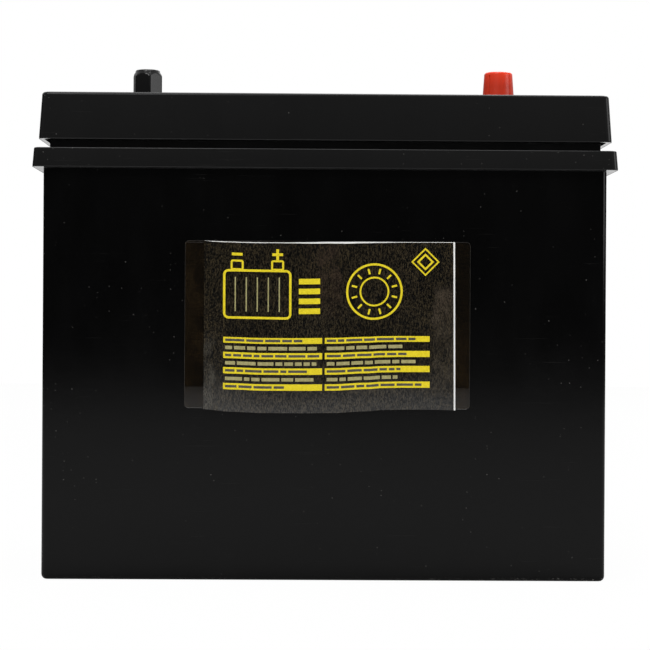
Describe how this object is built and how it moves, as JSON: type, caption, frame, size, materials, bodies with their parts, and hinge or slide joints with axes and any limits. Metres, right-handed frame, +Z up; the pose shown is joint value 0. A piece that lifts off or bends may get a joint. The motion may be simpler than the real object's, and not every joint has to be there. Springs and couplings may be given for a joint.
{
  "type": "deep cycle battery",
  "caption": "Sealed lead-acid deep cycle battery: rimmed black case, drafted lid with valve covers, capped stud terminals near one long side, and a label with a leaflet that opens.",
  "frame": {"origin": "middle of the base, on the surface that the battery stands on", "axes": "+X along the length towards the positive terminal, +Y across the width towards the terminals and away from the label, +Z up"},
  "size_m": [0.276, 0.171, 0.2554],
  "materials": {
    "case_plastic": "satin",
    "lid_plastic": "satin",
    "porous_polymer": "matte",
    "valve_rubber": "matte",
    "lead": "satin",
    "black_resin": "gloss",
    "red_resin": "gloss",
    "stud_steel": "polished",
    "black_cap_plastic": "satin",
    "red_cap_plastic": "satin",
    "negative_paste": "matte",
    "positive_paste": "matte",
    "glass_mat": "matte",
    "clear_film": "gloss",
    "leaflet_paper": "matte",
    "leaflet_print": "gloss"
  },
  "bodies": {
    "battery": {"container": "case_plastic", "lid": "lid_plastic", "negative_post": "lead", "positive_post": "lead", "negative_bushing": "lead", "positive_bushing": "lead", "negative_seal": "black_resin", "positive_seal": "red_resin", "negative_stud": "stud_steel", "positive_stud": "stud_steel", "negative_plates_1": "negative_paste", "negative_plates_2": "negative_paste", "negative_plates_3": "negative_paste", "negative_plates_4": "negative_paste", "negative_plates_5": "negative_paste", "negative_plates_6": "negative_paste", "positive_plates_1": "positive_paste", "positive_plates_2": "positive_paste", "positive_plates_3": "positive_paste", "positive_plates_4": "positive_paste", "positive_plates_5": "positive_paste", "positive_plates_6": "positive_paste", "separator_1": "glass_mat", "separator_2": "glass_mat", "separator_3": "glass_mat", "separator_4": "glass_mat", "separator_5": "glass_mat", "separator_6": "glass_mat", "cell_link_1": "lead", "cell_link_2": "lead", "cell_link_3": "lead", "cell_link_4": "lead", "cell_link_5": "lead", "label_film": "clear_film", "leaflet_pages": "leaflet_paper"},
    "negative_cap": {"negative_cap": "black_cap_plastic"},
    "positive_cap": {"positive_cap": "red_cap_plastic"},
    "vent_cover_left": {"vent_cover_left": "lid_plastic", "flame_arrestor_left": "porous_polymer"},
    "vent_cover_right": {"vent_cover_right": "lid_plastic", "flame_arrestor_right": "porous_polymer"},
    "relief_valve_1": {"relief_valve_1": "valve_rubber"},
    "relief_valve_2": {"relief_valve_2": "valve_rubber"},
    "relief_valve_3": {"relief_valve_3": "valve_rubber"},
    "relief_valve_4": {"relief_valve_4": "valve_rubber"},
    "relief_valve_5": {"relief_valve_5": "valve_rubber"},
    "relief_valve_6": {"relief_valve_6": "valve_rubber"},
    "leaflet_cover": {"leaflet_cover": "leaflet_print"}
  },
  "joints": [
    {"name": "negative_cap_pull", "type": "slide", "parent": "battery", "child": "negative_cap", "axis": [0, 0, 1], "range_m": [0, 0.03]},
    {"name": "positive_cap_pull", "type": "slide", "parent": "battery", "child": "positive_cap", "axis": [0, 0, 1], "range_m": [0, 0.03]},
    {"name": "vent_cover_left_lift", "type": "slide", "parent": "battery", "child": "vent_cover_left", "axis": [0, 0, 1], "range_m": [0, 0.02]},
    {"name": "vent_cover_right_lift", "type": "slide", "parent": "battery", "child": "vent_cover_right", "axis": [0, 0, 1], "range_m": [0, 0.02]},
    {"name": "relief_valve_1_lift", "type": "slide", "parent": "battery", "child": "relief_valve_1", "axis": [0, 0, 1], "range_m": [0, 0.0008], "stiffness_N_per_m": 200},
    {"name": "relief_valve_2_lift", "type": "slide", "parent": "battery", "child": "relief_valve_2", "axis": [0, 0, 1], "range_m": [0, 0.0008], "stiffness_N_per_m": 200},
    {"name": "relief_valve_3_lift", "type": "slide", "parent": "battery", "child": "relief_valve_3", "axis": [0, 0, 1], "range_m": [0, 0.0008], "stiffness_N_per_m": 200},
    {"name": "relief_valve_4_lift", "type": "slide", "parent": "battery", "child": "relief_valve_4", "axis": [0, 0, 1], "range_m": [0, 0.0008], "stiffness_N_per_m": 200},
    {"name": "relief_valve_5_lift", "type": "slide", "parent": "battery", "child": "relief_valve_5", "axis": [0, 0, 1], "range_m": [0, 0.0008], "stiffness_N_per_m": 200},
    {"name": "relief_valve_6_lift", "type": "slide", "parent": "battery", "child": "relief_valve_6", "axis": [0, 0, 1], "range_m": [0, 0.0008], "stiffness_N_per_m": 200},
    {"name": "leaflet_cover_turn", "type": "hinge", "parent": "battery", "child": "leaflet_cover", "pos_m": [-0.05695, -0.08255, 0.1203], "axis": [0, 0, -1], "range_deg": [0, 165]}
  ]
}
